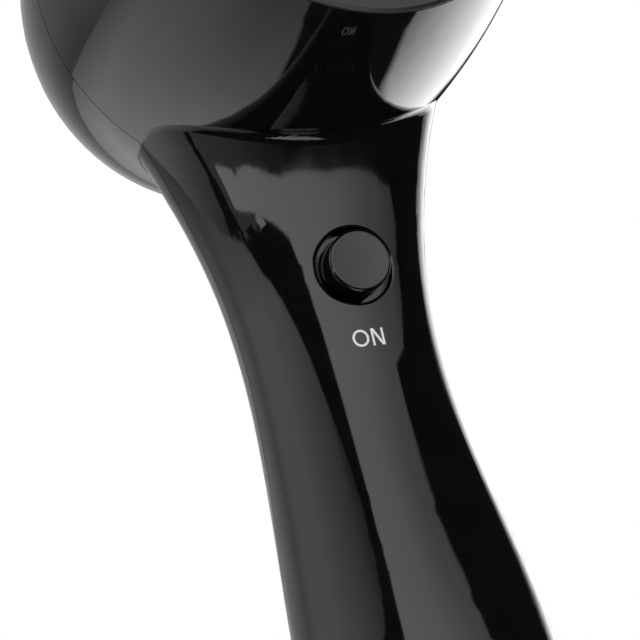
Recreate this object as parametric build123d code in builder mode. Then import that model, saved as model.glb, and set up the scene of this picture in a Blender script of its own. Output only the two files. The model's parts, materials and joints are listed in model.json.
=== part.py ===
"""Compact pistol-grip hair dryer: two moulded shells around a fan, a motor and a mica heater.

Frame: the barrel lies along Y and blows toward -Y, the handle hangs down -Z, X is to the side.
The origin is the centre of the outlet bore's mouth. Millimetres.
"""
from build123d import *
from math import atan, cos, hypot, pi, radians, sin, sqrt, tan
import os

os.makedirs("parts", exist_ok=True)

# ---- driving dimensions -------------------------------------------------------------------
BODY_R = 38.0           # barrel radius where the two shells meet, its widest place
SEAM_Y = 61.5           # distance of that joint behind the outlet face
OUTLET_R = 30.8         # radius of the outlet bezel
REAR_R = 25.0           # radius of the barrel's rear rim
REAR_Y = 103.5          # barrel length
WALL = 2.2              # shell wall
SEAM_GAP = 0.2          # visible joint line between the shells

HANDLE_END = -148.0     # underside of the handle
WAIST_Z = -72.5         # narrowest place of the handle
WAIST_HALF = 15.5       # half width there
FLARE_UP = 0.0050       # how fast the handle widens above the waist, per mm
FLARE_FRONT = 0.0054    # how fast its front bends forward there
FRONT_PLUMB = -61.5     # height where the front stands upright
FLARE_TOP = 0.0030      # and how fast it bends forward from there up
FLARE_BACK = 0.0018     # how fast its back bends backward
FLARE_DOWN = 4.6        # how much wider it is at its end, each side
FLARE_SPAN = 60.0       # over this height below the waist
DEPTH_HALF = 16.0       # half depth at the waist
DEPTH_FLARE = 3.5       # how much deeper it is at its end, each side
HANDLE_LEAN = 6.8       # degrees, the end of the handle leans toward the outlet
HANDLE_CURVE = 5.8      # and bends this much further that way below the waist
SPLIT_LEAN = 6.4        # degrees, the joint line in the handle leans about as much
SPLIT_KNEE = -45.0      # height where the joint line starts to lean
SQUARENESS = 2.4        # exponent of the handle's rounded section, 2 is an ellipse
END_ROUND = 8.0         # rounding of the handle's end
NECK_ROUND = 2.0        # rounding in the corner between barrel and handle

BUTTON_Z = -58.7        # height of the button
MID_AHEAD = 3.4         # middle of the unflared section in front of the joint plane, at the button
CAP_R = 5.2             # button cap
CAP_PROUD = 3.0         # cap face above the handle's face, of which 2 mm are travel
MOAT_R = 6.2            # round recess about the cap
MOAT_DEPTH = 2.4
MOAT_ROUND = 0.6        # rounding of the recess's rim
FIT = 0.2               # radial play of the cap in its hole

DUCT_R = 29.2           # inside of the fan duct
DUCT_WALL = 1.4
DUCT_FRONT = 54.0
DUCT_REAR = 89.0
FAN_Y = 77.0            # front face of the fan hub
FAN_DEPTH = 9.0
FAN_R = 28.6
HUB_R = 11.0
MOTOR_R = 12.0
MOTOR_FRONT = 51.0
MOTOR_REAR = 75.0
SHAFT_R = 1.15
SLEEVE_R = 27.8         # mica tube about the heater
SLEEVE_WALL = 0.6
HEATER_FRONT = 11.0
HEATER_REAR = 48.0
COIL_R = 20.2
COIL_WIRE = 0.6
COIL_PITCH = 3.6
COIL_TURNS = 8
BOARD = 0.8             # mica sheet

SCREW_R = 1.5
HEAD_R = 2.9
HEAD_H = 2.0
BOSS_R = 3.6
SCREW_Z = (-42.5, -88.0, -126.0)
GLAND_BORE = 3.2


def half_width(z):
    """Half width of the handle's outside at height z."""
    if z >= WAIST_Z:
        return WAIST_HALF + FLARE_UP * (z - WAIST_Z) ** 2
    share = min((WAIST_Z - z) / FLARE_SPAN, 1.0)
    return WAIST_HALF + FLARE_DOWN * (1 - cos(pi * share)) / 2


def front_flare(z):
    """How far the handle's front stands forward of its straight lean at height z."""
    rise = max(z - WAIST_Z, 0.0)
    bent = min(rise, FRONT_PLUMB - WAIST_Z)
    return FLARE_FRONT * bent * (2 * rise - bent) + FLARE_TOP * max(z - FRONT_PLUMB, 0.0) ** 2


def back_flare(z):
    """How far the handle's back stands backward of its straight lean at height z."""
    return FLARE_BACK * max(z - WAIST_Z, 0.0) ** 2


def half_depth(z):
    """Half depth of the handle's outside at height z."""
    share = min(max((WAIST_Z - z) / FLARE_SPAN, 0.0), 1.0)
    flare = (front_flare(z) + back_flare(z)) / 2
    return DEPTH_HALF + flare + DEPTH_FLARE * (1 - cos(pi * share)) / 2


def handle_mid(z):
    """Y of the middle of the handle's section at height z."""
    at_button = SEAM_Y - MID_AHEAD
    share = min(max((WAIST_Z - z) / FLARE_SPAN, 0.0), 1.0)
    bend = HANDLE_CURVE * (1 - cos(pi * share)) / 2
    flare = (front_flare(z) - back_flare(z)) / 2
    return at_button + tan(radians(HANDLE_LEAN)) * (z - BUTTON_Z) - bend - flare


def split_y(z):
    """Y of the joint between the shells at height z."""
    return SEAM_Y + tan(radians(SPLIT_LEAN)) * min(z - SPLIT_KNEE, 0.0)


def rounded_section(z, inset):
    """Sketch of the handle's section at height z, moved inward by inset."""
    a, b = half_width(z) - inset, half_depth(z) - inset
    steps = 24
    points = []
    for i in range(steps):
        t = 2 * pi * i / steps
        x = a * abs(cos(t)) ** (2 / SQUARENESS) * (1 if cos(t) >= 0 else -1)
        y = b * abs(sin(t)) ** (2 / SQUARENESS) * (1 if sin(t) >= 0 else -1)
        points.append((x, y + handle_mid(z)))
    with BuildSketch(Plane.XY.offset(z)) as sketch:
        with BuildLine():
            Spline(*points, periodic=True)
        make_face()
    return sketch.sketch


def arc_radius(run, drop):
    """Radius of the arc that leaves level and drops by drop over run."""
    return (run**2 + drop**2) / (2 * drop)


def body_r(y):
    """Outer radius of the barrel at depth y."""
    if y <= SEAM_Y:
        radius = arc_radius(SEAM_Y, BODY_R - OUTLET_R)
    else:
        radius = arc_radius(REAR_Y - SEAM_Y, BODY_R - REAR_R)
    return BODY_R - radius + sqrt(radius**2 - (y - SEAM_Y) ** 2)


def turned(points_and_arcs):
    """Closed sketch on XY, x is the radius and y the depth, ready to revolve about Y."""
    with BuildSketch(Plane.XY) as sketch:
        with BuildLine():
            for item in points_and_arcs:
                if len(item) == 2:
                    Line(*item)
                else:
                    ThreePointArc(*item)
        make_face()
    return sketch.sketch


def barrel_profile(inset, front, rear):
    """Half section of the barrel, its outside moved inward by inset, from front to rear."""
    def at(y):
        return (body_r(y) - inset, y)
    f_mid, r_mid = (front + SEAM_Y) / 2, (rear + SEAM_Y) / 2
    return turned([((0, front), at(front)), (at(front), at(f_mid), at(SEAM_Y)),
                   (at(SEAM_Y), at(r_mid), at(rear)), (at(rear), (0, rear)),
                   ((0, rear), (0, front))])


HANDLE_STATIONS = (-18.0, -30.0, -42.0, -57.0, -72.0, -88.0, -104.0, -120.0, -134.0)
LIP_Y = 0.4             # the shell's edge is this far behind the bore's mouth

# ---- outside of the whole housing, and its hollow -------------------------------------------
with BuildPart() as outside:
    for z in HANDLE_STATIONS + (HANDLE_END,):
        add(rounded_section(z, 0))
    loft()
    end_edge = outside.faces().sort_by(Axis.Z)[0].edges()
    fillet(end_edge, END_ROUND)
    with BuildSketch(Plane.XY):
        add(barrel_profile(0, LIP_Y, REAR_Y))
    revolve(axis=Axis.Y)
    neck = [e for e in outside.edges() if -44 < e.center().Z < -20 and e.length > 20]
    fillet(neck, NECK_ROUND)

with BuildPart() as hollow:
    for z in HANDLE_STATIONS + (HANDLE_END + WALL,):
        add(rounded_section(z, WALL))
    loft()
    fillet(hollow.faces().sort_by(Axis.Z)[0].edges(), END_ROUND - WALL)
    with BuildSketch(Plane.XY):
        add(barrel_profile(WALL, LIP_Y, REAR_Y))
    revolve(axis=Axis.Y)

# ---- the space ahead of the joint between the shells, and the space behind it ----------------
TALL, LONG = 200.0, 200.0


def side_of_split(shift, ahead):
    """A big block on one side of the leaning joint surface, moved back by shift."""
    far = -LONG if ahead else LONG
    top, low = TALL, -TALL
    with BuildPart() as block:
        with BuildSketch(Plane.YZ):
            with BuildLine():
                Polyline((split_y(low) + shift, low), (SEAM_Y + shift, SPLIT_KNEE),
                         (SEAM_Y + shift, top), (far, top), (far, low), close=True)
            make_face()
        extrude(amount=TALL, both=True)
    return block.part


FRONT_SPACE = side_of_split(-SEAM_GAP / 2, True)
REAR_SPACE = side_of_split(SEAM_GAP / 2, False)

# the button looks square out of the handle's front face, which bends forward above the waist
BUTTON_FLARE = FLARE_FRONT * (FRONT_PLUMB - WAIST_Z) + FLARE_TOP * (BUTTON_Z - FRONT_PLUMB)
FACE_TILT = radians(HANDLE_LEAN) - atan(2 * BUTTON_FLARE)
BUTTON_AT = (0, handle_mid(BUTTON_Z) - half_depth(BUTTON_Z), BUTTON_Z)
BUTTON_OUT = (0, -cos(FACE_TILT), sin(FACE_TILT))
BUTTON_FACE = Plane(origin=BUTTON_AT, x_dir=(1, 0, 0), z_dir=BUTTON_OUT)

SEAT_R = MOAT_R + WALL               # thick seat about the button, inside the front shell
SEAT_DEPTH = MOAT_DEPTH + WALL
MOUTH_R = 28.9                       # bore that takes the bezel's spigot
MOUTH_END = 8.0
CLAMP_Z = -107.0                     # cord clamp inside the handle
CLAMP_X = 7.2
CLAMP_POST_R = 2.4
CLAMP_FROM_JOINT = 6.0               # the clamp's seat is this far ahead of the joint
CLAMP_THREAD = 0.95                  # radius of the clamp screws and their holes
CLAMP_BAR = 2.4                      # thickness of the clamp
GLAND_Y = split_y(HANDLE_END)
GLAND_R = 5.5
GLAND_COLLAR_R = 6.3
GLAND_PAD_R = 7.4
GLAND_PAD_TOP = WALL + 1.7           # height of the pad's top over the handle's underside


def handle_front(z):
    """Y of the handle's outer front face on the middle line at height z."""
    return handle_mid(z) - half_depth(z)


def handle_back(z):
    """Y of the handle's outer rear face on the middle line at height z."""
    return handle_mid(z) + half_depth(z)


def height_over_face(edge):
    """How far an edge's middle stands over the handle's face at the button."""
    return (edge.center(CenterOf.MASS) - Vector(*BUTTON_AT)).dot(Vector(*BUTTON_OUT))


def off_button(edge):
    """Distance of an edge's middle from the button."""
    return (edge.center(CenterOf.MASS) - Vector(*BUTTON_AT)).length


def along_y(x, z, y):
    """Plane square to Y, looking back, with its origin at the given place."""
    return Plane(origin=(x, y, z), x_dir=(1, 0, 0), z_dir=(0, 1, 0))


with BuildPart() as gland_pad:
    # flat seat for the gland's collar, above the rounding of the handle's end
    with BuildSketch(Plane(origin=(0, GLAND_Y, HANDLE_END + WALL - 0.2), z_dir=(0, 0, 1))):
        Circle(GLAND_PAD_R)
    extrude(amount=GLAND_PAD_TOP - WALL + 0.2)

# ---- front shell -------------------------------------------------------------------------------
with BuildPart() as front_shell:
    add(outside.part)
    add(hollow.part, mode=Mode.SUBTRACT)
    add(gland_pad.part)
    add(FRONT_SPACE, mode=Mode.INTERSECT)
    # thicker mouth that takes the bezel
    with BuildSketch(Plane.XY):
        with BuildLine():
            Polyline((MOUTH_R - 1, LIP_Y), (body_r(LIP_Y) - 1, LIP_Y),
                     (body_r(MOUTH_END) - 1, MOUTH_END), (MOUTH_R - 1, MOUTH_END), close=True)
        make_face()
    revolve(axis=Axis.Y)
    with BuildSketch(along_y(0, 0, 0)):
        Circle(MOUTH_R)
    extrude(amount=MOUTH_END + 1, mode=Mode.SUBTRACT)
    # seat, round recess and hole for the button
    with BuildSketch(BUTTON_FACE.offset(-SEAT_DEPTH)):
        Circle(SEAT_R)
    extrude(amount=WALL + 0.6)
    with BuildSketch(BUTTON_FACE.offset(-MOAT_DEPTH)):
        Circle(MOAT_R)
    extrude(amount=10, mode=Mode.SUBTRACT)
    rim = [e for e in front_shell.edges() if e.length > 6 * MOAT_R
           and height_over_face(e) > -MOAT_DEPTH / 2 and off_button(e) < 1]
    fillet(rim, MOAT_ROUND)
    with BuildSketch(BUTTON_FACE.offset(-SEAT_DEPTH - 1)):
        Circle(CAP_R + FIT)
    extrude(amount=10, mode=Mode.SUBTRACT)
    # screw bosses on the middle line, from the front wall to the joint
    for z in SCREW_Z:
        start = handle_front(z) + WALL / 2
        with BuildSketch(along_y(0, z, start)):
            Circle(BOSS_R)
        extrude(amount=split_y(z) - SEAM_GAP / 2 - start)
        with BuildSketch(along_y(0, z, handle_front(z) + 4)):
            Circle(SCREW_R - 0.05)
        extrude(amount=split_y(z) - handle_front(z), mode=Mode.SUBTRACT)
    # posts for the cord clamp
    for x in (-CLAMP_X, CLAMP_X):
        post_end = split_y(CLAMP_Z) - CLAMP_FROM_JOINT
        start = handle_front(CLAMP_Z) + WALL + 0.4
        with BuildSketch(along_y(x, CLAMP_Z, start)):
            Circle(CLAMP_POST_R)
        extrude(amount=post_end - start)
        with BuildSketch(along_y(x, CLAMP_Z, post_end - 8)):
            Circle(CLAMP_THREAD)
        extrude(amount=8.1, mode=Mode.SUBTRACT)
    # half of the hole for the cord gland
    with BuildSketch(Plane(origin=(0, GLAND_Y, HANDLE_END - 1), z_dir=(0, 0, 1))):
        Circle(GLAND_R)
    extrude(amount=10, mode=Mode.SUBTRACT)
front_shell.part.label = "front_shell"
export_step(front_shell.part, "parts/front_shell.step")

# ---- rear shell --------------------------------------------------------------------------------
GRILLE_SEAT_R = REAR_R - WALL
GRILLE_FRONT = REAR_Y - 6.0
LEDGE_FRONT = GRILLE_FRONT - 2.0
RIB_FRONT, RIB_TALL = 64.0, 5.2
LIP_R = BODY_R - WALL - 0.3          # the lip's outside, just inside the front shell
LIP_LOW = 18.0                       # the lip stops this far below the axis
with BuildPart() as rear_shell:
    add(outside.part)
    add(hollow.part, mode=Mode.SUBTRACT)
    add(gland_pad.part)
    add(REAR_SPACE, mode=Mode.INTERSECT)
    fillet(rear_shell.edges().filter_by(GeomType.CIRCLE).group_by(Axis.Y)[-1]
           .sort_by(SortBy.RADIUS)[-1:], 0.9)
    # inner ledge that the inlet screen lies on
    with BuildSketch(Plane.XY):
        with BuildLine():
            Polyline((GRILLE_SEAT_R - 2.3, LEDGE_FRONT), (body_r(LEDGE_FRONT) - 1, LEDGE_FRONT),
                     (body_r(GRILLE_FRONT) - 1, GRILLE_FRONT),
                     (GRILLE_SEAT_R - 2.3, GRILLE_FRONT), close=True)
        make_face()
    revolve(axis=Axis.Y)
    # ribs that hold the fan duct
    with BuildSketch(along_y(0, 0, RIB_FRONT)):
        with PolarLocations(DUCT_R + DUCT_WALL + RIB_TALL / 2, 4, start_angle=45):
            Rectangle(RIB_TALL, 1.6)
    extrude(amount=12)
    with BuildSketch(along_y(0, 0, RIB_FRONT - 1)):
        Circle(DUCT_R + DUCT_WALL)
    extrude(amount=14, mode=Mode.SUBTRACT)
    # lip that slides under the front shell, in the barrel only
    for start, length, outer_r in ((SEAM_Y - 2.5, 4.5, LIP_R), (SEAM_Y + SEAM_GAP, 2.0, LIP_R + 1)):
        with BuildSketch(along_y(0, 0, start)):
            Circle(outer_r)
            Circle(LIP_R - 1.2, mode=Mode.SUBTRACT)
            with Locations((0, LIP_LOW + BODY_R)):
                Rectangle(2 * BODY_R, 2 * BODY_R, mode=Mode.SUBTRACT)
        extrude(amount=length)
    # screw bosses with sunk heads
    for z in SCREW_Z:
        back = handle_back(z)
        with BuildSketch(along_y(0, z, split_y(z) + SEAM_GAP / 2)):
            Circle(BOSS_R + 0.9)
        extrude(amount=back - WALL / 2 - split_y(z) - SEAM_GAP / 2)
        with BuildSketch(along_y(0, z, split_y(z) - 1)):
            Circle(SCREW_R + 0.15)
        extrude(amount=40, mode=Mode.SUBTRACT)
        with BuildSketch(along_y(0, z, back - 3.5)):
            Circle(HEAD_R + 0.2)
        extrude(amount=20, mode=Mode.SUBTRACT)
    with BuildSketch(Plane(origin=(0, GLAND_Y, HANDLE_END - 1), z_dir=(0, 0, 1))):
        Circle(GLAND_R)
    extrude(amount=10, mode=Mode.SUBTRACT)
rear_shell.part.label = "rear_shell"
export_step(rear_shell.part, "parts/rear_shell.step")

# ---- outlet bezel and grille ---------------------------------------------------------------
BORE_R = 27.3                        # clear bore that a nozzle's spigot enters
STEP_R = 29.0
RIM = 0.8                            # the flat rim stands this far in front of the bore
with BuildPart() as outlet_bezel:
    with BuildSketch(Plane.XY):
        with BuildLine():
            Polyline((STEP_R, -RIM), (OUTLET_R - 0.5, -RIM), (OUTLET_R, 0.5 - RIM),
                     (OUTLET_R, LIP_Y), (MOUTH_R - 0.1, LIP_Y), (MOUTH_R - 0.1, MOUTH_END),
                     (BORE_R, MOUTH_END), (BORE_R, 0), (STEP_R, 0), close=True)
        make_face()
    revolve(axis=Axis.Y)
outlet_bezel.part.label = "outlet_bezel"
export_step(outlet_bezel.part, "parts/outlet_bezel.step")

GRILLE_THICK = 1.6
GRILLE_BAR = 1.0
with BuildPart() as outlet_grille:
    with BuildSketch(along_y(0, 0, MOUTH_END)):
        for radius in (MOUTH_R - 0.2, 20.6, 14.2, 7.8):
            width = 2.9 if radius > BORE_R else GRILLE_BAR
            with BuildSketch(mode=Mode.PRIVATE) as hoop:
                Circle(radius)
                Circle(radius - width, mode=Mode.SUBTRACT)
            add(hoop.sketch)
        with PolarLocations(14.2, 6):
            Rectangle(26.5, GRILLE_BAR)
        Circle(3.2)
    extrude(amount=GRILLE_THICK)
outlet_grille.part.label = "outlet_grille"
export_step(outlet_grille.part, "parts/outlet_grille.step")

# ---- heater: mica sleeve, two crossed mica boards, wound wire, thermostat and fuse ---------
with BuildPart() as heater_sleeve:
    with BuildSketch(along_y(0, 0, MOUTH_END + GRILLE_THICK)):
        Circle(SLEEVE_R)
        Circle(SLEEVE_R - SLEEVE_WALL, mode=Mode.SUBTRACT)
    extrude(amount=DUCT_FRONT - MOUTH_END - GRILLE_THICK)
heater_sleeve.part.label = "heater_sleeve"
export_step(heater_sleeve.part, "parts/heater_sleeve.step")

EAR_HALF = SLEEVE_R - SLEEVE_WALL - 0.1
TOOTH_HALF = COIL_R + 1.6
NOTCH_FLOOR = COIL_R - COIL_WIRE - 0.25
EAR = 3.0
COIL_START = HEATER_FRONT + EAR + 2.4
COIL_YS = [COIL_START + COIL_PITCH * i for i in range(COIL_TURNS)]


def mica_board(slot_from_front, turn):
    """One notched board in a plane through the axis, slotted over half its length."""
    length = HEATER_REAR - HEATER_FRONT
    middle = (HEATER_REAR + HEATER_FRONT) / 2
    plane = Plane(origin=(0, middle, 0), x_dir=(cos(radians(turn)), 0, sin(radians(turn))),
                  z_dir=(-sin(radians(turn)), 0, cos(radians(turn))))
    with BuildPart() as board:
        with BuildSketch(plane):
            Rectangle(2 * TOOTH_HALF, length)
            with Locations((0, (length - EAR) / 2), (0, (EAR - length) / 2)):
                Rectangle(2 * EAR_HALF, EAR)
            for y in COIL_YS:
                with Locations((TOOTH_HALF, y - middle), (-TOOTH_HALF, y - middle)):
                    Rectangle(2 * (TOOTH_HALF - NOTCH_FLOOR), 2 * COIL_WIRE + 0.5,
                              mode=Mode.SUBTRACT)
            way = -1 if slot_from_front else 1
            with Locations((0, way * length / 4)):
                Rectangle(BOARD + 0.1, length / 2 + 0.1, mode=Mode.SUBTRACT)
        extrude(amount=BOARD / 2, both=True)
    return board.part


for name, from_front, turn in (("heater_board_a", True, 45), ("heater_board_b", False, 135)):
    board = mica_board(from_front, turn)
    board.label = name
    export_step(board, f"parts/{name}.step")

with BuildPart() as heating_coil:
    with BuildSketch(Plane.XY):
        for y in COIL_YS:
            with Locations((COIL_R, y)):
                Circle(COIL_WIRE)
    revolve(axis=Axis.Y)
heating_coil.part.label = "heating_coil"
export_step(heating_coil.part, "parts/heating_coil.step")

THERMO_Y = HEATER_REAR - 7.0
with BuildPart() as thermostat:
    # ceramic block with a bimetal blade, riveted to the first board
    with BuildSketch(Plane(origin=(0, THERMO_Y, 0), x_dir=(cos(radians(45)), 0, sin(radians(45))),
                           z_dir=(-sin(radians(45)), 0, cos(radians(45)))).offset(BOARD / 2)):
        with Locations((11, 0)):
            Rectangle(12, 5)
    extrude(amount=3.2)
    fillet(thermostat.edges().filter_by(Axis.Y), 0.5)
thermostat.part.label = "thermostat"
export_step(thermostat.part, "parts/thermostat.step")

with BuildPart() as thermal_fuse:
    with BuildSketch(Plane(origin=(0, THERMO_Y, 0), x_dir=(cos(radians(135)), 0, sin(radians(135))),
                           z_dir=(0, 1, 0))):
        with Locations((11, 2.0)):
            Circle(1.6)
    extrude(amount=5, both=True)
    fillet(thermal_fuse.edges(), 0.5)
thermal_fuse.part.label = "thermal_fuse"
export_step(thermal_fuse.part, "parts/thermal_fuse.step")

# ---- fan duct with guide vanes and motor cup -------------------------------------------------
CUP_WALL = 1.2
VANES = 7
VANE_FRONT, VANE_REAR = 58.0, 72.0
DUCT_OUT = DUCT_R + DUCT_WALL


with BuildPart() as one_vane:
    with BuildSketch(Plane(origin=(0, (VANE_FRONT + VANE_REAR) / 2, MOTOR_R + CUP_WALL / 2),
                           x_dir=(1, 0, 0), z_dir=(0, 0, 1))):
        with Locations(Rotation(0, 0, 12)):
            Rectangle(1.2, VANE_REAR - VANE_FRONT)
    extrude(amount=DUCT_R + DUCT_WALL / 2 - MOTOR_R - CUP_WALL / 2)
with BuildPart() as fan_duct:
    with BuildSketch(along_y(0, 0, DUCT_FRONT)):
        Circle(DUCT_OUT)
        Circle(DUCT_R, mode=Mode.SUBTRACT)
    extrude(amount=DUCT_REAR - DUCT_FRONT)
    # front ring that closes the duct onto the mica sleeve
    with BuildSketch(along_y(0, 0, DUCT_FRONT)):
        Circle(DUCT_OUT)
        Circle(SLEEVE_R - SLEEVE_WALL, mode=Mode.SUBTRACT)
    extrude(amount=1.4)
    # cup about the motor
    with BuildSketch(along_y(0, 0, MOTOR_FRONT + 5)):
        Circle(MOTOR_R + CUP_WALL)
        Circle(MOTOR_R, mode=Mode.SUBTRACT)
    extrude(amount=MOTOR_REAR - MOTOR_FRONT - 5 + 1)
    for i in range(VANES):
        add(one_vane.part.rotate(Axis.Y, 360 * i / VANES))
    with BuildSketch(along_y(0, 0, MOTOR_FRONT)):
        Circle(MOTOR_R)
    extrude(amount=MOTOR_REAR - MOTOR_FRONT, mode=Mode.SUBTRACT)
fan_duct.part.label = "fan_duct"
export_step(fan_duct.part, "parts/fan_duct.step")

# ---- motor -----------------------------------------------------------------------------------
CAN_WALL = 1.0
END_CAP = 2.4
SHAFT_PLAY = 0.05
BEARING_R = 3.2
with BuildPart() as motor_can:
    with BuildSketch(Plane.XY):
        with BuildLine():
            Polyline((BEARING_R, MOTOR_REAR), (MOTOR_R - 0.05, MOTOR_REAR),
                     (MOTOR_R - 0.05, MOTOR_FRONT + END_CAP), (MOTOR_R - CAN_WALL, MOTOR_FRONT + END_CAP),
                     (MOTOR_R - CAN_WALL, MOTOR_REAR - CAN_WALL),
                     (BEARING_R, MOTOR_REAR - CAN_WALL), close=True)
        make_face()
    revolve(axis=Axis.Y)
motor_can.part.label = "motor_can"
export_step(motor_can.part, "parts/motor_can.step")

with BuildPart() as motor_end_cap:
    with BuildSketch(Plane.XY):
        with BuildLine():
            Polyline((BEARING_R, MOTOR_FRONT), (MOTOR_R - 0.05, MOTOR_FRONT),
                     (MOTOR_R - 0.05, MOTOR_FRONT + END_CAP), (BEARING_R, MOTOR_FRONT + END_CAP), close=True)
        make_face()
    revolve(axis=Axis.Y)
motor_end_cap.part.label = "motor_end_cap"
export_step(motor_end_cap.part, "parts/motor_end_cap.step")

for name, depth in (("bearing_front", MOTOR_FRONT), ("bearing_rear", MOTOR_REAR - 2.4)):
    with BuildPart() as bush:
        with BuildSketch(along_y(0, 0, depth)):
            Circle(BEARING_R)
            Circle(SHAFT_R + SHAFT_PLAY, mode=Mode.SUBTRACT)
        extrude(amount=2.4)
    bush.part.label = name
    export_step(bush.part, f"parts/{name}.step")

MAGNET_R = 8.6
with BuildPart() as motor_magnets:
    with BuildSketch(along_y(0, 0, MOTOR_FRONT + 5)):
        Circle(MOTOR_R - CAN_WALL)
        Circle(MAGNET_R, mode=Mode.SUBTRACT)
        Rectangle(7, 2 * MOTOR_R, mode=Mode.SUBTRACT)
    extrude(amount=MOTOR_REAR - MOTOR_FRONT - 9)
motor_magnets.part.label = "motor_magnets"
export_step(motor_magnets.part, "parts/motor_magnets.step")

ROTOR_R = MAGNET_R - 0.5
SLOT_AT, SLOT_R = 5.4, 2.1
with BuildPart() as rotor_core:
    # three-pole lamination stack
    with BuildSketch(along_y(0, 0, MOTOR_FRONT + 7.5)):
        Circle(ROTOR_R)
        with PolarLocations(SLOT_AT, 3, start_angle=60):
            Circle(SLOT_R, mode=Mode.SUBTRACT)
        with PolarLocations(ROTOR_R, 3, start_angle=60):
            Rectangle(3, 1.2, mode=Mode.SUBTRACT)
        Circle(SHAFT_R, mode=Mode.SUBTRACT)
    extrude(amount=12)
rotor_core.part.label = "rotor_core"
export_step(rotor_core.part, "parts/rotor_core.step")

with BuildPart() as rotor_windings:
    # one copper bundle in each slot
    with BuildSketch(along_y(0, 0, MOTOR_FRONT + 6.8)):
        with PolarLocations(SLOT_AT, 3, start_angle=60):
            Circle(SLOT_R - 0.1)
    extrude(amount=13.4)
rotor_windings.part.label = "rotor_windings"
export_step(rotor_windings.part, "parts/rotor_windings.step")

with BuildPart() as commutator:
    with BuildSketch(along_y(0, 0, MOTOR_FRONT + 3)):
        Circle(2.8)
        Circle(SHAFT_R, mode=Mode.SUBTRACT)
    extrude(amount=3.8)
commutator.part.label = "commutator"
export_step(commutator.part, "parts/commutator.step")

with BuildPart() as motor_brushes:
    # carbon brushes either side of the commutator
    with BuildSketch(along_y(0, 0, MOTOR_FRONT + END_CAP)):
        with Locations((4.9, 0), (-4.9, 0)):
            Rectangle(3.6, 2.4)
    extrude(amount=3.6)
motor_brushes.part.label = "motor_brushes"
export_step(motor_brushes.part, "parts/motor_brushes.step")

with BuildPart() as motor_shaft:
    with BuildSketch(along_y(0, 0, MOTOR_FRONT - 0.5)):
        Circle(SHAFT_R)
    extrude(amount=FAN_Y + FAN_DEPTH - 1.5 - MOTOR_FRONT + 0.5)
motor_shaft.part.label = "motor_shaft"
export_step(motor_shaft.part, "parts/motor_shaft.step")

# ---- fan ---------------------------------------------------------------------------------------
BLADES = 7
BLADE_THICK = 1.1
with BuildPart() as one_blade:
    for radius, pitch, chord in ((HUB_R - 1.5, 44, 9.0), ((HUB_R + FAN_R) / 2, 56, 12.0),
                                 (FAN_R, 64, 14.0)):
        with BuildSketch(Plane(origin=(0, FAN_Y + FAN_DEPTH / 2, radius), x_dir=(1, 0, 0),
                               z_dir=(0, 0, 1))):
            with Locations(Rotation(0, 0, 90 - pitch)):
                SlotOverall(chord, BLADE_THICK)
    loft()
    with BuildSketch(along_y(0, 0, FAN_Y - 6)):
        Circle(FAN_R)
    extrude(amount=FAN_DEPTH + 12, mode=Mode.INTERSECT)
with BuildPart() as fan:
    with BuildSketch(Plane.XY):
        with BuildLine():
            Line((SHAFT_R, FAN_Y), (HUB_R, FAN_Y))
            Line((HUB_R, FAN_Y), (HUB_R, FAN_Y + FAN_DEPTH - 2))
            RadiusArc((HUB_R, FAN_Y + FAN_DEPTH - 2), (SHAFT_R, FAN_Y + FAN_DEPTH), -30)
            Line((SHAFT_R, FAN_Y + FAN_DEPTH), (SHAFT_R, FAN_Y))
        make_face()
    revolve(axis=Axis.Y)
    for i in range(BLADES):
        add(one_blade.part.rotate(Axis.Y, 360 * i / BLADES))
    with BuildSketch(along_y(0, 0, FAN_Y - 4)):
        Circle(SHAFT_R)
    extrude(amount=FAN_DEPTH + 8, mode=Mode.SUBTRACT)
fan.part.label = "fan"
export_step(fan.part, "parts/fan.step")

# ---- rear grille and screen --------------------------------------------------------------------
GRILLE_REAR = REAR_Y - 0.8
SCREEN_THICK = 0.6
with BuildPart() as inlet_grille:
    with BuildSketch(along_y(0, 0, GRILLE_FRONT + SCREEN_THICK)):
        Circle(GRILLE_SEAT_R - 0.05)
        Circle(GRILLE_SEAT_R - 1.8, mode=Mode.SUBTRACT)
    extrude(amount=GRILLE_REAR - GRILLE_FRONT - SCREEN_THICK)
    with BuildSketch(along_y(0, 0, GRILLE_REAR - 2.4)):
        for radius in [GRILLE_SEAT_R - 1.1 - 3.5 * i for i in range(6)]:
            with BuildSketch(mode=Mode.PRIVATE) as hoop:
                Circle(radius)
                Circle(radius - 1.3, mode=Mode.SUBTRACT)
            add(hoop.sketch)
        with PolarLocations(GRILLE_SEAT_R / 2, 6):
            Rectangle(GRILLE_SEAT_R - 2, 1.4)
        Circle(3.0)
    extrude(amount=2.0)
inlet_grille.part.label = "inlet_grille"
export_step(inlet_grille.part, "parts/inlet_grille.step")

SCREEN_PITCH = 3.0
ROW_PITCH = SCREEN_PITCH * sqrt(3) / 2
HALF_ROWS = 8
holes = []
for row in range(-HALF_ROWS, HALF_ROWS + 1):
    for column in range(-HALF_ROWS, HALF_ROWS + 1):
        place = ((column + (row % 2) / 2) * SCREEN_PITCH, row * ROW_PITCH)
        if hypot(*place) < GRILLE_SEAT_R - 3:
            holes.append(place)
with BuildPart() as inlet_screen:
    with BuildSketch(along_y(0, 0, GRILLE_FRONT)):
        Circle(GRILLE_SEAT_R - 0.3)
        with Locations(*holes):
            Circle(1.05, mode=Mode.SUBTRACT)
    extrude(amount=SCREEN_THICK)
inlet_screen.part.label = "inlet_screen"
export_step(inlet_screen.part, "parts/inlet_screen.step")

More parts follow.
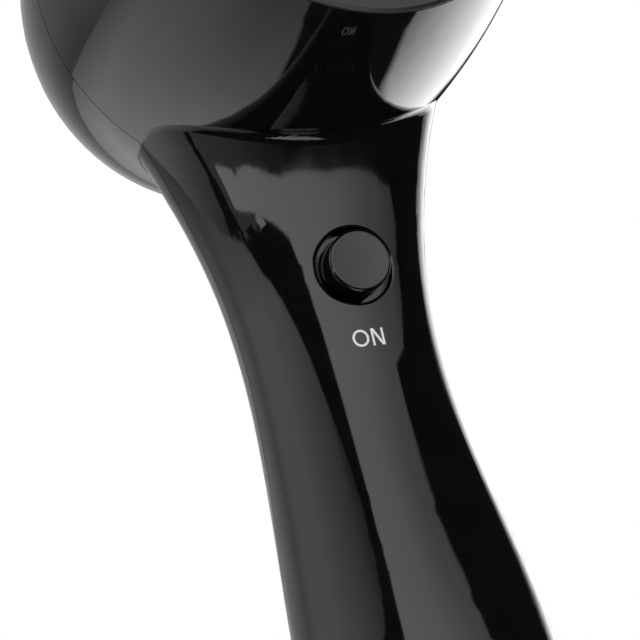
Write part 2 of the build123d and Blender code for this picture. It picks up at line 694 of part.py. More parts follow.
# ---- button, its guide and spring, and the switch under it ------------------------------------
FLANGE_R = 6.3
FLANGE = 1.2
FLANGE_TOP = -SEAT_DEPTH - 0.15
GUIDE_IN = FLANGE_R + 0.3
GUIDE_OUT = GUIDE_IN + 1.5
GUIDE_END = -13.5
STEM_R = 2.5
STEM_END = -15.0
CAP_ROUND = 0.5
DISH_R = 75.0
with BuildPart() as button_cap:
    with BuildSketch(BUTTON_FACE.offset(FLANGE_TOP - FLANGE)):
        Circle(CAP_R)
    extrude(amount=CAP_PROUD - FLANGE_TOP + FLANGE)
    fillet([e for e in button_cap.edges() if height_over_face(e) > CAP_PROUD - 0.1], CAP_ROUND)
    # shallow hollow for the fingertip
    with Locations(BUTTON_FACE.offset(CAP_PROUD + sqrt(DISH_R**2 - (CAP_R - CAP_ROUND - 0.1) ** 2))):
        Sphere(DISH_R, rotation=(90, 0, 0), mode=Mode.SUBTRACT)
    with BuildSketch(BUTTON_FACE.offset(FLANGE_TOP - FLANGE)):
        Circle(FLANGE_R)
    extrude(amount=FLANGE)
    with BuildSketch(BUTTON_FACE.offset(STEM_END)):
        Circle(STEM_R)
    extrude(amount=FLANGE_TOP - STEM_END)
button_cap.part.label = "button_cap"
export_step(button_cap.part, "parts/button_cap.step")

with BuildPart() as button_guide:
    with BuildSketch(BUTTON_FACE.offset(GUIDE_END)):
        Circle(GUIDE_OUT)
        Circle(GUIDE_IN, mode=Mode.SUBTRACT)
    extrude(amount=-SEAT_DEPTH - GUIDE_END)
    with BuildSketch(BUTTON_FACE.offset(GUIDE_END)):
        Circle(GUIDE_OUT)
        Circle(STEM_R + 0.3, mode=Mode.SUBTRACT)
    extrude(amount=1.2)
button_guide.part.label = "button_guide"
export_step(button_guide.part, "parts/button_guide.step")

SPRING_WIRE = 0.35
SPRING_R = 4.4
SPRING_TOP = FLANGE_TOP - FLANGE - SPRING_WIRE - 0.05
SPRING_FOOT = GUIDE_END + 1.2 + SPRING_WIRE + 0.05
with BuildPart() as button_spring:
    with BuildLine() as spring_path:
        Helix(pitch=(SPRING_TOP - SPRING_FOOT) / 3.5, height=SPRING_TOP - SPRING_FOOT,
              radius=SPRING_R)
    with BuildSketch(Plane(origin=spring_path.line @ 0, z_dir=spring_path.line % 0)):
        Circle(SPRING_WIRE)
    sweep(is_frenet=True)
spring = BUTTON_FACE.offset(SPRING_FOOT).location * button_spring.part
spring.label = "button_spring"
export_step(spring, "parts/button_spring.step")

PLUNGER_R = 1.3
PLUNGER_TOP = STEM_END - 0.1
SWITCH_TOP = -18.0
SWITCH_END = -26.0
SWITCH_TALL = 18.0
TERMINAL = 5.2
with BuildPart() as switch_body:
    with BuildSketch(BUTTON_FACE.offset(SWITCH_END)):
        RectangleRounded(9, SWITCH_TALL, 0.8)
    extrude(amount=SWITCH_TOP - SWITCH_END)
    with BuildSketch(BUTTON_FACE.offset(SWITCH_TOP - 5.5)):
        Circle(PLUNGER_R + 0.1)
    extrude(amount=10, mode=Mode.SUBTRACT)
switch_body.part.label = "switch_body"
export_step(switch_body.part, "parts/switch_body.step")

with BuildPart() as switch_plunger:
    with BuildSketch(BUTTON_FACE.offset(SWITCH_TOP - 3.2)):
        Circle(PLUNGER_R)
    extrude(amount=PLUNGER_TOP - SWITCH_TOP + 3.2)
    fillet(switch_plunger.edges().sort_by(lambda e: height_over_face(e))[-1], 0.4)
switch_plunger.part.label = "switch_plunger"
export_step(switch_plunger.part, "parts/switch_plunger.step")

with BuildPart() as switch_terminals:
    # two blades out of the lower end of the switch
    with BuildSketch(BUTTON_FACE.offset(SWITCH_END + 2)):
        with Locations((-2.6, -(SWITCH_TALL + TERMINAL) / 2), (2.6, -(SWITCH_TALL + TERMINAL) / 2)):
            Rectangle(0.8, TERMINAL)
    extrude(amount=3.2)
switch_terminals.part.label = "switch_terminals"
export_step(switch_terminals.part, "parts/switch_terminals.step")

with BuildPart() as switch_carrier:
    # U-shaped frame between the guide and the back of the switch
    with BuildSketch(BUTTON_FACE.offset(SWITCH_END - 1.4)):
        Rectangle(14, 16)
    extrude(amount=1.4)
    with BuildSketch(BUTTON_FACE.offset(SWITCH_END - 1.4)):
        with Locations((6.25, 0), (-6.25, 0)):
            Rectangle(1.5, 10)
    extrude(amount=GUIDE_END - SWITCH_END + 1.4)
switch_carrier.part.label = "switch_carrier"
export_step(switch_carrier.part, "parts/switch_carrier.step")

# ---- handle end: gland, cord clamp, screws -----------------------------------------------------
COLLAR_LOW = GLAND_PAD_TOP + 0.1
with BuildPart() as cord_gland:
    with BuildSketch(Plane.XY):
        with BuildLine():
            Polyline((GLAND_BORE, -2.0), (GLAND_R - 0.6, -2.0), (GLAND_R - 0.05, -1.4),
                     (GLAND_R - 0.05, COLLAR_LOW), (GLAND_COLLAR_R, COLLAR_LOW),
                     (GLAND_COLLAR_R, COLLAR_LOW + 2.2), (GLAND_R - 0.6, COLLAR_LOW + 2.2),
                     (GLAND_R - 0.6, 9.0), (GLAND_BORE, 9.0), close=True)
        make_face()
    revolve(axis=Axis.Y)
gland = cord_gland.part.rotate(Axis.X, 90).translate((0, GLAND_Y, HANDLE_END))
gland.label = "cord_gland"
export_step(gland, "parts/cord_gland.step")

clamp_front = split_y(CLAMP_Z) - CLAMP_FROM_JOINT
with BuildPart() as cord_clamp:
    with BuildSketch(along_y(0, CLAMP_Z, clamp_front)):
        SlotOverall(2 * CLAMP_X + 6, 6)
        with Locations((-CLAMP_X, 0), (CLAMP_X, 0)):
            Circle(CLAMP_THREAD + 0.35, mode=Mode.SUBTRACT)
    extrude(amount=CLAMP_BAR)
cord_clamp.part.label = "cord_clamp"
export_step(cord_clamp.part, "parts/cord_clamp.step")


def screw(x, z, head_face, length, radius, head_r, head_h):
    """Pan-head screw whose head faces back, under the head a plain shank."""
    with BuildPart() as one:
        with BuildSketch(along_y(x, z, head_face - head_h - length)):
            Circle(radius)
        extrude(amount=length)
        with BuildSketch(along_y(x, z, head_face - head_h)):
            Circle(head_r)
        extrude(amount=head_h)
        with BuildSketch(along_y(x, z, head_face - 1.1)):
            Rectangle(head_r * 1.1, head_r * 0.28)
            Rectangle(head_r * 0.28, head_r * 1.1)
        extrude(amount=2, mode=Mode.SUBTRACT)
    return one.part


with BuildPart() as clamp_screws:
    for x in (-CLAMP_X, CLAMP_X):
        add(screw(x, CLAMP_Z, clamp_front + CLAMP_BAR + 1.6, 9.0, CLAMP_THREAD, 2.0, 1.6))
clamp_screws.part.label = "clamp_screws"
export_step(clamp_screws.part, "parts/clamp_screws.step")

with BuildPart() as housing_screws:
    for z in SCREW_Z:
        floor = handle_back(z) - 3.5
        reach = floor - split_y(z) + 10.0
        add(screw(0, z, floor + HEAD_H, reach, SCREW_R - 0.05, HEAD_R, HEAD_H))
housing_screws.part.label = "housing_screws"
export_step(housing_screws.part, "parts/housing_screws.step")

# ---- rectifier board on the motor's front ------------------------------------------------------
with BuildPart() as rectifier_board:
    with BuildSketch(along_y(0, 0, MOTOR_FRONT - 2.2)):
        Circle(MOTOR_R - 1.5)
        Circle(SHAFT_R + 0.6, mode=Mode.SUBTRACT)
    extrude(amount=1.2)
rectifier_board.part.label = "rectifier_board"
export_step(rectifier_board.part, "parts/rectifier_board.step")

with BuildPart() as rectifier_diodes:
    with BuildSketch(along_y(0, 0, MOTOR_FRONT - 2.2)):
        with PolarLocations(6.5, 4):
            Circle(1.3)
    extrude(amount=-4.2)
rectifier_diodes.part.label = "rectifier_diodes"
export_step(rectifier_diodes.part, "parts/rectifier_diodes.step")
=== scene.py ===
"""Looks of the hair dryer: materials, lettering, wound heater wire, soft studio light and camera.

Metres, in the part's own frame: the barrel blows toward -Y and the handle hangs down -Z.
Azimuths are in degrees about Z, 0 toward -Y and positive toward -X. Elevations are in degrees above level.
"""

import json
from math import cos, pi, radians, sin

import bmesh
import bpy
from mathutils import Matrix, Vector
from mathutils.bvhtree import BVHTree


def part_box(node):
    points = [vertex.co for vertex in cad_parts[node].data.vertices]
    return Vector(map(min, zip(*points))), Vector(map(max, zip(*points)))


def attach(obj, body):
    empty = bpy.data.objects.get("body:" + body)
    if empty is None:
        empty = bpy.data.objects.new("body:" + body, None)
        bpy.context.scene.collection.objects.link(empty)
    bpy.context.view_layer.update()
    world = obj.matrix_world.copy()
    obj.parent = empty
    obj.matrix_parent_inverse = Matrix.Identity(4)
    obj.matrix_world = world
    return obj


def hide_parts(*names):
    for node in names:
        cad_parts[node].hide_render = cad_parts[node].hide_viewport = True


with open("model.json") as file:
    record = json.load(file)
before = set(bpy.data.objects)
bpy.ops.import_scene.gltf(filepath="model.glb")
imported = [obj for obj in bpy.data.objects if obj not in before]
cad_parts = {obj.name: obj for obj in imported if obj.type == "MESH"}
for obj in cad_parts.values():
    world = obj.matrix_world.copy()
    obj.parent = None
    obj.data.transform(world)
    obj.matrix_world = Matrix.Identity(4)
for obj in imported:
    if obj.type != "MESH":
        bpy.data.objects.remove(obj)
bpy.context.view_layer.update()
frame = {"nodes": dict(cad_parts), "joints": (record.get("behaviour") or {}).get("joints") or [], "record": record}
NODES = frame["nodes"]
MM = 0.001


# ---- where things are, from the frame ----------------------------------------------------------------
PRESS = Vector(next(j for j in frame["joints"] if j["name"] == "button_press")["axis"])
FACE_OUT = -PRESS.normalized()
FACE_RIGHT = Vector((1, 0, 0))
FACE_UP = FACE_OUT.cross(FACE_RIGHT)
CAP_PROUD = 3.0 * MM          # how far the cap stands out of the handle's face
CAP_FRONT = 0.3 * MM          # depth of the slice at the cap's front that gives its centre


def face_of_cap():
    """Centre of the button, on the handle's face."""
    points = [v.co for v in NODES["button_cap"].data.vertices]
    top = max(p.dot(FACE_OUT) for p in points)
    front = [p for p in points if p.dot(FACE_OUT) > top - CAP_FRONT]
    middle = sum(front, Vector()) / len(front)
    across = Vector((0, middle.y, middle.z))
    return across + FACE_OUT * (top - CAP_PROUD - across.dot(FACE_OUT))


BUTTON = face_of_cap()


def direction(azimuth, elevation):
    """Unit vector toward an azimuth and an elevation."""
    a, e = radians(azimuth), radians(elevation)
    return Vector((-sin(a) * cos(e), -cos(a) * cos(e), sin(e)))


# ---- camera ------------------------------------------------------------------------------------------
CENTRE = Vector((0, 41.5, -58.7)) * MM        # in the button's recess; camera and panels go by it
CAMERA_AZIMUTH = 20.5
CAMERA_ELEVATION = -14.2
CAMERA_ROLL = 11.3            # degrees
CAMERA_DISTANCE = 0.660
NEAREST = 0.05                # nothing closer to the camera than this is drawn
LENS = 231.4                  # millimetres
SENSOR = 36.0                 # millimetres
AIM_LEFT = 7.1 * MM           # the aim is this far to the left of the centre, level
AIM_DOWN = 7.4 * MM           # and this far below it


def make_camera():
    """Long lens from the lower front left, aimed beside the button."""
    look = -direction(CAMERA_AZIMUTH, CAMERA_ELEVATION)
    level = look.cross(Vector((0, 0, 1))).normalized()
    above = level.cross(look)
    place = CENTRE - look * CAMERA_DISTANCE
    aim = CENTRE - level * AIM_LEFT - above * AIM_DOWN
    back = (place - aim).normalized()
    right = (-back).cross(Vector((0, 0, 1))).normalized()
    up = back.cross(right)
    turned = Matrix((right, up, back)).transposed() @ Matrix.Rotation(radians(-CAMERA_ROLL), 3, "Z")
    data = bpy.data.cameras.new("camera")
    data.lens = LENS
    data.sensor_width = SENSOR
    data.clip_start = NEAREST
    camera = bpy.data.objects.new("camera", data)
    camera.matrix_world = Matrix.Translation(place) @ turned.to_4x4()
    bpy.context.scene.collection.objects.link(camera)
    bpy.context.scene.camera = camera


# ---- studio: white surround, pale floor, soft panels ---------------------------------------------------
PANEL_DISTANCE = 3.0          # from the centre
PANEL_COLUMNS = 100           # faces across a panel
PANEL_STEP = 0.5              # degrees of elevation between two rows of a panel
PANEL_FADE = 2.0              # degrees of azimuth over which a panel's two edges fade
AMBIENT = 0.015               # strength of the surround for everything but the camera
WHITE = (1, 1, 1, 1)
FLOOR_Z = -0.30
FLOOR_HALF = 2.0
FLOOR_COLOUR = (0.86, 0.86, 0.85, 1)
FLOOR_ROUGHNESS = 0.9
OVERHEAD_SIZE = 1.6
OVERHEAD_WATTS = 22.0
OVERHEAD_Z = 1.5

# Panels as seen from the centre. The two edges are azimuths at elevations, from the lowest up.
# Brightness is given across, at azimuths, and its share upward, at elevations.
# Both follow the light areas that the gloss mirrors in the picture, so no panel is a plain rectangle.
FRONT_PANEL = {
    "one_edge": ((-9, 90), (-4, 90), (-1, 64), (2, 48), (5, 32), (12, 29), (20, 25), (36, 22), (58, 19)),
    "other_edge": ((-9, 84), (-5, 47), (0, 19), (3.2, -8), (4.2, -18), (4.5, -35), (4.7, -60), (8, -66),
                   (15, -64), (22, -57), (29, -38), (36, -38), (58, -40)),
    "across": ((-66, 0.35), (-60, 0.55), (-45, 0.86), (-30, 1.12), (-15, 1.85), (0, 2.05), (45, 2.3),
               (92, 2.5)),
    "upward": ((-9, 1.0), (30, 1.0), (45, 0.93), (58, 0.9)),
}
SIDE_PANEL = {
    "one_edge": ((0, 200), (26, 190), (38, 165), (58, 140)),
    "other_edge": ((0, 96), (5, 86), (10, 68), (17, 58), (24, 52), (31, 48), (38, 37), (46, 31), (58, 30)),
    "across": ((30, 0.3), (44, 0.6), (52, 0.82), (62, 1.0), (75, 1.15), (105, 1.25), (120, 1.0),
               (135, 0.74), (150, 0.34), (200, 0.55)),
    "upward": ((0, 0.65), (10, 1.0), (25, 0.92), (40, 0.76), (58, 0.55)),
}
LOW_PANEL = {
    "one_edge": ((-62, 150), (-50, 163), (-46, 171), (-41, 176), (-30, 190), (0, 195)),
    "other_edge": ((-62, 110), (-30, 112), (-8, 104), (0, 112)),
    "across": ((100, 0.5), (120, 0.65), (135, 0.82), (150, 0.98), (165, 1.18), (195, 1.0)),
    "upward": ((-62, 0.4), (-50, 0.42), (-40, 0.58), (-30, 0.85), (-20, 1.0), (-9, 1.0), (0, 0.5)),
}
RIM_PANEL = {
    "one_edge": ((-36, -118), (-20, -114), (20, -110)),
    "other_edge": ((-36, -149), (-27, -152), (20, -152)),
    "across": ((-153, 1.9), (-140, 2.4), (-130, 2.3), (-120, 1.1), (-110, 0.2)),
    "upward": ((-36, 0.5), (-28, 0.75), (-20, 0.92), (-8, 1.05), (4, 1.1), (12, 0.9), (20, 0.1)),
}
FOOT_PANEL = {
    "one_edge": ((-80, 48), (-50, 42)),
    "other_edge": ((-80, -35), (-50, -25)),
    "across": ((-35, 2.0), (30, 2.2), (48, 3.6)),
    "upward": ((-80, 1.0), (-50, 1.0)),
}
DIM_PANEL = {
    "one_edge": ((-17, 104), (0, 93)),
    "other_edge": ((-17, 70), (-12, 30), (-2, 8)),
    "across": ((8, 0.08), (25, 0.14), (40, 0.25), (60, 0.42), (104, 0.5)),
    "upward": ((-17, 1.0), (0, 1.0)),
    "distance": 3.1,          # it lies behind the front panel's lower edge
}


def link(tree, output, target):
    """Join a shader node's output to another one's input."""
    tree.links.new(output, target)


def node(tree, kind, **inputs):
    """New shader node with some of its input values set."""
    made = tree.nodes.new(kind)
    for name, value in inputs.items():
        made.inputs[name.replace("_", " ")].default_value = value
    return made


def between(points, place):
    """Value at a place on the straight pieces between these points."""
    for (low, start), (high, end) in zip(points, points[1:]):
        if place <= high:
            return start + (end - start) * max(place - low, 0) / (high - low)
    return points[-1][1]


def glowing(name):
    """Material as bright as the mesh's own brightness says."""
    made = bpy.data.materials.new(name)
    made.use_nodes = True
    tree = made.node_tree
    tree.nodes.clear()
    level = node(tree, "ShaderNodeAttribute")
    level.attribute_name = "brightness"
    lamp = node(tree, "ShaderNodeEmission")
    out = node(tree, "ShaderNodeOutputMaterial")
    link(tree, level.outputs["Fac"], lamp.inputs["Strength"])
    link(tree, lamp.outputs["Emission"], out.inputs["Surface"])
    return made


def softbox(name, one_edge, other_edge, across, upward, distance=PANEL_DISTANCE):
    """Light panel, part of a sphere about the centre, brighter in some places than in others."""
    shape = bmesh.new()
    brightness = shape.verts.layers.float.new("brightness")
    lowest, highest = one_edge[0][0], one_edge[-1][0]
    steps = round((highest - lowest) / PANEL_STEP)
    rows = []
    for i in range(steps + 1):
        elevation = lowest + (highest - lowest) * i / steps
        start, end = between(one_edge, elevation), between(other_edge, elevation)
        row = []
        for j in range(PANEL_COLUMNS + 1):
            azimuth = start + (end - start) * j / PANEL_COLUMNS
            corner = shape.verts.new(direction(azimuth, elevation) * distance)
            fade = min(abs(azimuth - start) / PANEL_FADE, abs(azimuth - end) / PANEL_FADE, 1.0)
            corner[brightness] = between(across, azimuth) * between(upward, elevation) * fade
            row.append(corner)
        rows.append(row)
    for low_row, high_row in zip(rows, rows[1:]):
        for j in range(PANEL_COLUMNS):
            shape.faces.new((low_row[j], low_row[j + 1], high_row[j + 1], high_row[j]))
    mesh = bpy.data.meshes.new(name)
    shape.to_mesh(mesh)
    shape.free()
    panel = bpy.data.objects.new(name, mesh)
    panel.location = CENTRE
    bpy.context.scene.collection.objects.link(panel)
    mesh.materials.append(glowing(name))
    panel.visible_camera = False
    panel.visible_shadow = False


def make_world():
    """White to the camera, nearly dark to everything else."""
    world = bpy.data.worlds.new("studio")
    bpy.context.scene.world = world
    world.use_nodes = True
    tree = world.node_tree
    tree.nodes.clear()
    surround = node(tree, "ShaderNodeBackground", Color=WHITE, Strength=AMBIENT)
    white = node(tree, "ShaderNodeBackground", Color=WHITE, Strength=1.0)
    path = node(tree, "ShaderNodeLightPath")
    mix = node(tree, "ShaderNodeMixShader")
    out = node(tree, "ShaderNodeOutputWorld")
    link(tree, path.outputs["Is Camera Ray"], mix.inputs[0])
    link(tree, surround.outputs[0], mix.inputs[1])
    link(tree, white.outputs[0], mix.inputs[2])
    link(tree, mix.outputs[0], out.inputs["Surface"])


def make_floor():
    """Plain pale floor, which polished surfaces don't mirror."""
    shape = bmesh.new()
    bmesh.ops.create_grid(shape, x_segments=2, y_segments=2, size=FLOOR_HALF)
    bmesh.ops.translate(shape, verts=shape.verts[:], vec=(0, 0, FLOOR_Z))
    mesh = bpy.data.meshes.new("floor")
    shape.to_mesh(mesh)
    shape.free()
    pale, _, shader = new_material("floor")
    shader.inputs["Base Color"].default_value = FLOOR_COLOUR
    shader.inputs["Roughness"].default_value = FLOOR_ROUGHNESS
    mesh.materials.append(pale)
    floor = bpy.data.objects.new("floor", mesh)
    floor.visible_glossy = False
    bpy.context.scene.collection.objects.link(floor)


def make_overhead():
    """Wide soft lamp above the dryer, for the floor and the matt surfaces."""
    lamp = bpy.data.lights.new("overhead", "AREA")
    lamp.shape = "RECTANGLE"
    lamp.size = OVERHEAD_SIZE
    lamp.size_y = OVERHEAD_SIZE
    lamp.energy = OVERHEAD_WATTS
    overhead = bpy.data.objects.new("overhead", lamp)
    overhead.location = (0, 0, OVERHEAD_Z)
    overhead.visible_glossy = False
    overhead.visible_camera = False
    bpy.context.scene.collection.objects.link(overhead)


def make_studio():
    """Everything around the dryer, and how the picture is developed."""
    make_world()
    softbox("front_softbox", **FRONT_PANEL)
    softbox("side_softbox", **SIDE_PANEL)
    softbox("low_softbox", **LOW_PANEL)
    softbox("rim_softbox", **RIM_PANEL)
    softbox("foot_softbox", **FOOT_PANEL)
    softbox("dim_softbox", **DIM_PANEL)
    make_floor()
    make_overhead()
    bpy.context.scene.view_settings.view_transform = "Standard"


# ---- materials ---------------------------------------------------------------------------------------
CLOUDS = 90.0                 # clouds per metre in a moulding's colour
GLOSS_IOR = 1.5
SHEET = 0.5 * MM              # thickness of a steel sheet in the motor's core
SMOOTH = 0.00001              # depth of the finest grain, in metres
GRAINY = 0.00003              # and of a rougher one
EVEN = (1, 1, 1)              # specks that are as long as they are wide

# Darkest and lightest colour, least and greatest roughness, grains per metre, depth of the grain.
MOULDINGS = {
    "satin_bezel": ((0.017, 0.017, 0.017), (0.023, 0.023, 0.023), 0.38, 0.5, 6000.0, SMOOTH),
    "black_grille": ((0.012, 0.012, 0.012), (0.02, 0.02, 0.02), 0.45, 0.6, 4000.0, GRAINY),
    "ceramic": ((0.70, 0.68, 0.62), (0.82, 0.80, 0.75), 0.6, 0.8, 5000.0, GRAINY),
    "duct_plastic": ((0.02, 0.02, 0.021), (0.035, 0.035, 0.036), 0.4, 0.6, 3500.0, GRAINY),
    "fan_plastic": ((0.58, 0.57, 0.52), (0.68, 0.67, 0.62), 0.35, 0.5, 3000.0, SMOOTH),
    "ferrite": ((0.03, 0.03, 0.032), (0.06, 0.06, 0.063), 0.45, 0.65, 5000.0, GRAINY),
    "carbon": ((0.015, 0.015, 0.016), (0.03, 0.03, 0.032), 0.5, 0.7, 5000.0, GRAINY),
    "board": ((0.20, 0.11, 0.045), (0.30, 0.17, 0.07), 0.35, 0.5, 2500.0, 0.00002),
    "component": ((0.012, 0.012, 0.013), (0.02, 0.02, 0.021), 0.35, 0.5, 4000.0, SMOOTH),
    "switch_plastic": ((0.03, 0.03, 0.031), (0.045, 0.045, 0.046), 0.35, 0.5, 4000.0, SMOOTH),
    "white_plastic": ((0.68, 0.68, 0.65), (0.76, 0.76, 0.73), 0.35, 0.5, 3000.0, SMOOTH),
    "rubber": ((0.010, 0.010, 0.010), (0.018, 0.018, 0.018), 0.6, 0.8, 3500.0, GRAINY),
}
# The same, with the squeeze that turns specks into streaks before the depth.
METALS = {
    "nichrome": ((0.30, 0.29, 0.27), (0.52, 0.50, 0.47), 0.3, 0.5, 900.0, EVEN, 0.00001),
    "steel": ((0.42, 0.42, 0.43), (0.62, 0.62, 0.63), 0.22, 0.4, 500.0, (1, 0.1, 1), 0.000008),
    "copper": ((0.50, 0.20, 0.08), (0.80, 0.38, 0.18), 0.22, 0.4, 1800.0, (1, 0.2, 1), 0.00003),
    "bronze": ((0.42, 0.27, 0.11), (0.66, 0.46, 0.22), 0.35, 0.55, 2500.0, EVEN, 0.00002),
    "screen": ((0.24, 0.24, 0.25), (0.40, 0.40, 0.41), 0.3, 0.5, 700.0, EVEN, 0.00001),
}


def new_material(name):
    """New material, its node tree and its Principled shader."""
    made = bpy.data.materials.new(name)
    made.use_nodes = True
    return made, made.node_tree, made.node_tree.nodes["Principled BSDF"]


def spread(tree, factor, low, high):
    """Scalar that goes from low to high with factor."""
    ramp = node(tree, "ShaderNodeMapRange", To_Min=low, To_Max=high)
    link(tree, factor, ramp.inputs["Value"])
    return ramp.outputs["Result"]


def tint(tree, factor, dark, light, start=0.3, end=0.7):
    """Colour that goes from dark to light with factor."""
    ramp = node(tree, "ShaderNodeValToRGB")
    ramp.color_ramp.elements[0].position = start
    ramp.color_ramp.elements[0].color = (*dark, 1)
    ramp.color_ramp.elements[1].position = end
    ramp.color_ramp.elements[1].color = (*light, 1)
    link(tree, factor, ramp.inputs["Fac"])
    return ramp.outputs["Color"]


def noise(tree, scale, detail=4.0, rough=0.5, stretch=(1, 1, 1)):
    """Noise in the object's own space. Scale is in cells per metre."""
    place = node(tree, "ShaderNodeTexCoord")
    squeeze = node(tree, "ShaderNodeMapping")
    squeeze.inputs["Scale"].default_value = stretch
    made = node(tree, "ShaderNodeTexNoise", Scale=scale, Detail=detail, Roughness=rough)
    link(tree, place.outputs["Object"], squeeze.inputs["Vector"])
    link(tree, squeeze.outputs["Vector"], made.inputs["Vector"])
    return made.outputs["Fac"]


def cells(tree, scale):
    """Distance to the nearest cell's middle, in the object's own space. Scale is in cells per metre."""
    place = node(tree, "ShaderNodeTexCoord")
    made = node(tree, "ShaderNodeTexVoronoi", Scale=scale)
    link(tree, place.outputs["Object"], made.inputs["Vector"])
    return made.outputs["Distance"]


def bands(tree, scale, axis):
    """Straight bands square to an axis. Scale is in bands per metre, within two parts in a hundred."""
    place = node(tree, "ShaderNodeTexCoord")
    made = node(tree, "ShaderNodeTexWave", Scale=scale / pi)
    made.bands_direction = axis
    link(tree, place.outputs["Object"], made.inputs["Vector"])
    return made.outputs["Fac"]


def relief(tree, shader, height, depth):
    """Bump of a real depth in metres."""
    bump = node(tree, "ShaderNodeBump", Strength=1.0, Distance=depth)
    link(tree, height, bump.inputs["Height"])
    link(tree, bump.outputs["Normal"], shader.inputs["Normal"])


def moulded(name, dark, light, rough_low, rough_high, grain, depth):
    """Moulded plastic or ceramic: a faint cloudiness of colour, uneven gloss and a grain."""
    made, tree, shader = new_material(name)
    cloud = noise(tree, CLOUDS, detail=3.0)
    fine = noise(tree, grain, detail=3.0)
    link(tree, tint(tree, cloud, dark, light), shader.inputs["Base Color"])
    link(tree, spread(tree, cloud, rough_low, rough_high), shader.inputs["Roughness"])
    relief(tree, shader, fine, depth)
    return made


def metal(name, dark, light, rough_low, rough_high, grain, stretch, depth):
    """Drawn, brushed or sintered metal: streaks or specks that vary tone, gloss and height."""
    made, tree, shader = new_material(name)
    streak = noise(tree, grain, detail=5.0, rough=0.6, stretch=stretch)
    link(tree, tint(tree, streak, dark, light), shader.inputs["Base Color"])
    link(tree, spread(tree, streak, rough_low, rough_high), shader.inputs["Roughness"])
    relief(tree, shader, streak, depth)
    shader.inputs["Metallic"].default_value = 1.0
    return made


def gloss_black(name):
    """Polished black: mirror-like, with a very slight flow of the moulding and faint handling haze."""
    made, tree, shader = new_material(name)
    flow = noise(tree, 28.0, detail=1.0)
    haze = noise(tree, 140.0, detail=6.0, rough=0.65)
    black = tint(tree, haze, (0.0022, 0.0022, 0.0024), (0.0040, 0.0040, 0.0042))
    link(tree, black, shader.inputs["Base Color"])
    link(tree, spread(tree, haze, low=0.025, high=0.075), shader.inputs["Roughness"])
    relief(tree, shader, flow, depth=0.00006)
    shader.inputs["IOR"].default_value = GLOSS_IOR
    return made


def mica():
    """Pressed mica: pearly flakes in a buff sheet."""
    made, tree, shader = new_material("mica")
    flakes = cells(tree, 420.0)
    cloud = noise(tree, 60.0, detail=5.0)
    mix = node(tree, "ShaderNodeMath")
    mix.operation = "MULTIPLY"
    link(tree, flakes, mix.inputs[0])
    link(tree, cloud, mix.inputs[1])
    buff = tint(tree, mix.outputs["Value"], (0.36, 0.29, 0.19), (0.66, 0.58, 0.44), start=0.05, end=0.5)
    link(tree, buff, shader.inputs["Base Color"])
    link(tree, spread(tree, flakes, low=0.25, high=0.55), shader.inputs["Roughness"])
    relief(tree, shader, flakes, depth=0.00004)
    return made


def laminated():
    """Edges of stacked steel sheets half a millimetre thick."""
    made, tree, shader = new_material("lamination")
    sheets = bands(tree, 1 / SHEET, "Y")
    steel = tint(tree, sheets, (0.10, 0.10, 0.11), (0.42, 0.42, 0.43), start=0.1, end=0.5)
    link(tree, steel, shader.inputs["Base Color"])
    link(tree, spread(tree, sheets, low=0.6, high=0.35), shader.inputs["Roughness"])
    relief(tree, shader, sheets, depth=0.00005)
    shader.inputs["Metallic"].default_value = 1.0
    return made


def material_set():
    """One material for each of the record's slots."""
    made = {
        "gloss_shell": gloss_black("gloss_shell"),
        "gloss_cap": gloss_black("gloss_cap"),
        "mica": mica(),
        "lamination": laminated(),
    }
    for name, looks in MOULDINGS.items():
        made[name] = moulded(name, *looks)
    for name, looks in METALS.items():
        made[name] = metal(name, *looks)
    return made


def ink():
    """White pad-printed ink, slightly uneven in cover and gloss."""
    made, tree, shader = new_material("printed_ink")
    cover = noise(tree, 2600.0)
    link(tree, tint(tree, cover, (0.74, 0.74, 0.74), (0.86, 0.86, 0.86)), shader.inputs["Base Color"])
    link(tree, spread(tree, cover, low=0.4, high=0.6), shader.inputs["Roughness"])
    relief(tree, shader, cover, depth=0.000008)
    return made


# ---- lettering: the word ON, printed on the handle below the button -----------------------------------
TEXT_BELOW = 12.2 * MM        # middle of the word, below the middle of the button
TEXT_ASIDE = 0.35 * MM        # and this far toward -X
TEXT_HEIGHT = 2.9 * MM
STROKE = 0.38 * MM
O_WIDTH = 2.75 * MM
O_SIDES = 48
N_WIDTH = 2.10 * MM
SLANT_WIDER = 1.25            # level width of the slanting stroke, in strokes
SLANT_INSET = 0.1 * MM        # its ends lie this far inward of the upright strokes' middle lines
LETTER_GAP = 0.47 * MM
INK_ABOVE = 0.015 * MM        # height of the first stroke over the handle
INK_LAYER = 0.002 * MM        # and of each next stroke over the one before
INK_STEPS = 10                # pieces along a straight stroke
RAY_FROM = 5 * MM             # strokes are dropped onto the handle from this far outside it
WELD = 1e-7                   # points closer together than this become one


def letter_o(centre):
    """Rows of points across the stroke of an O, in the face's own plane."""
    rows = []
    for i in range(O_SIDES + 1):
        a = 2 * pi * i / O_SIDES
        row = []
        for side in (-0.5, 0.5):
            row.append((centre + cos(a) * (O_WIDTH / 2 - STROKE / 2 + side * STROKE),
                        sin(a) * (TEXT_HEIGHT / 2 - STROKE / 2 + side * STROKE)))
        rows.append(row)
    return rows


def bar(start, end, width):
    """Rows of points across a straight stroke of this level width."""
    rows = []
    for i in range(INK_STEPS + 1):
        t = i / INK_STEPS
        x = start[0] + (end[0] - start[0]) * t
        y = start[1] + (end[1] - start[1]) * t
        rows.append([(x - width / 2, y), (x + width / 2, y)])
    return rows


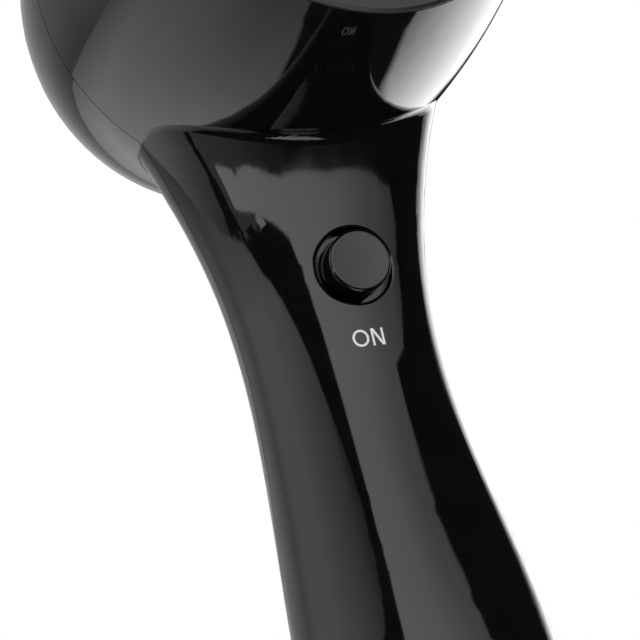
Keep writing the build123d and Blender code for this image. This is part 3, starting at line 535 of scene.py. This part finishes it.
def make_lettering(material):
    """Both letters as thin ink that follows the handle's surface."""
    shell = NODES["front_shell"]
    shell.data.calc_loop_triangles()
    surface = BVHTree.FromPolygons([v.co for v in shell.data.vertices],
                                   [t.vertices for t in shell.data.loop_triangles])
    whole = O_WIDTH + LETTER_GAP + N_WIDTH
    o_at = -whole / 2 + O_WIDTH / 2
    left = whole / 2 - N_WIDTH + STROKE / 2
    right = whole / 2 - STROKE / 2
    half = TEXT_HEIGHT / 2
    strokes = [
        letter_o(o_at),
        bar((left, -half), (left, half), STROKE),
        bar((left + SLANT_INSET, half), (right - SLANT_INSET, -half), STROKE * SLANT_WIDER),
        bar((right, -half), (right, half), STROKE),
    ]
    centre = BUTTON - FACE_UP * TEXT_BELOW - FACE_RIGHT * TEXT_ASIDE
    shape = bmesh.new()
    for level, rows in enumerate(strokes):
        made = []
        for row in rows:
            placed = []
            for x, y in row:
                start = centre + FACE_RIGHT * x + FACE_UP * y + FACE_OUT * RAY_FROM
                hit = surface.ray_cast(start, -FACE_OUT)[0]
                placed.append(shape.verts.new(hit + FACE_OUT * (INK_ABOVE + level * INK_LAYER)))
            made.append(placed)
        for low, high in zip(made, made[1:]):
            shape.faces.new((low[0], low[1], high[1], high[0]))
    bmesh.ops.remove_doubles(shape, verts=shape.verts[:], dist=WELD)
    bmesh.ops.recalc_face_normals(shape, faces=shape.faces[:])
    mesh = bpy.data.meshes.new("on_lettering")
    shape.to_mesh(mesh)
    shape.free()
    word = bpy.data.objects.new("on_lettering", mesh)
    bpy.context.scene.collection.objects.link(word)
    mesh.materials.append(material)
    if mesh.polygons[0].normal.dot(FACE_OUT) < 0:
        mesh.flip_normals()
    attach(word, "housing")


# ---- heater wire, wound over the notched boards ---------------------------------------------------------
WIRE_R = 0.38 * MM
EDGE = 0.6 * MM               # from the middle of the wire to the edge of the coil's box
RIPPLE = 0.9 * MM
RIPPLES = 7                   # half waves of the crimped wire between two notches
TURNS = 8
STEP_FROM = 0.75              # share of a turn after which the wire steps on to the next turn
POINTS_PER_TURN = 224


def make_coil(material):
    """One crimped wire in eight turns, level for most of each turn and stepping on in its last quarter."""
    low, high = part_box("heating_coil")
    radius = (high.x - low.x) / 2 - EDGE
    first = low.y + EDGE
    pitch = (high.y - low.y - 2 * EDGE) / (TURNS - 1)
    points = []
    for i in range(TURNS * POINTS_PER_TURN + 1):
        turn = i / POINTS_PER_TURN
        whole = min(int(turn), TURNS - 1)
        part = turn - whole
        step = min(max((part - STEP_FROM) / (1 - STEP_FROM), 0.0), 1.0)
        eased = step * step * (3 - 2 * step) if whole < TURNS - 1 else 0.0
        y = first + pitch * (whole + eased)
        angle = 2 * pi * part + pi / 4
        wave = sin(4 * RIPPLES * pi * part)
        away = abs(sin(4 * pi * part))             # nothing at the notches, where the wire lies still
        r = radius + RIPPLE * wave * min(away * 2.0, 1.0)
        points.append(Vector((r * cos(angle), y, r * sin(angle))))
    curve = bpy.data.curves.new("heater_wire", "CURVE")
    curve.dimensions = "3D"
    curve.bevel_depth = WIRE_R
    curve.bevel_resolution = 3
    spline = curve.splines.new("POLY")
    spline.points.add(len(points) - 1)
    for place, point in zip(spline.points, points):
        place.co = (*point, 1)
    wire = bpy.data.objects.new("heater_wire", curve)
    bpy.context.scene.collection.objects.link(wire)
    curve.materials.append(material)
    curve.use_fill_caps = True
    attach(wire, "housing")
    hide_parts("heating_coil")


# ---- put it together -----------------------------------------------------------------------------------
make_camera()
make_studio()
MATERIALS = material_set()
for part in frame["record"]["subparts"]:
    for place in NODES[part["node"]].material_slots:
        place.material = MATERIALS[part["material_slot"]]
make_lettering(ink())
make_coil(MATERIALS["nichrome"])
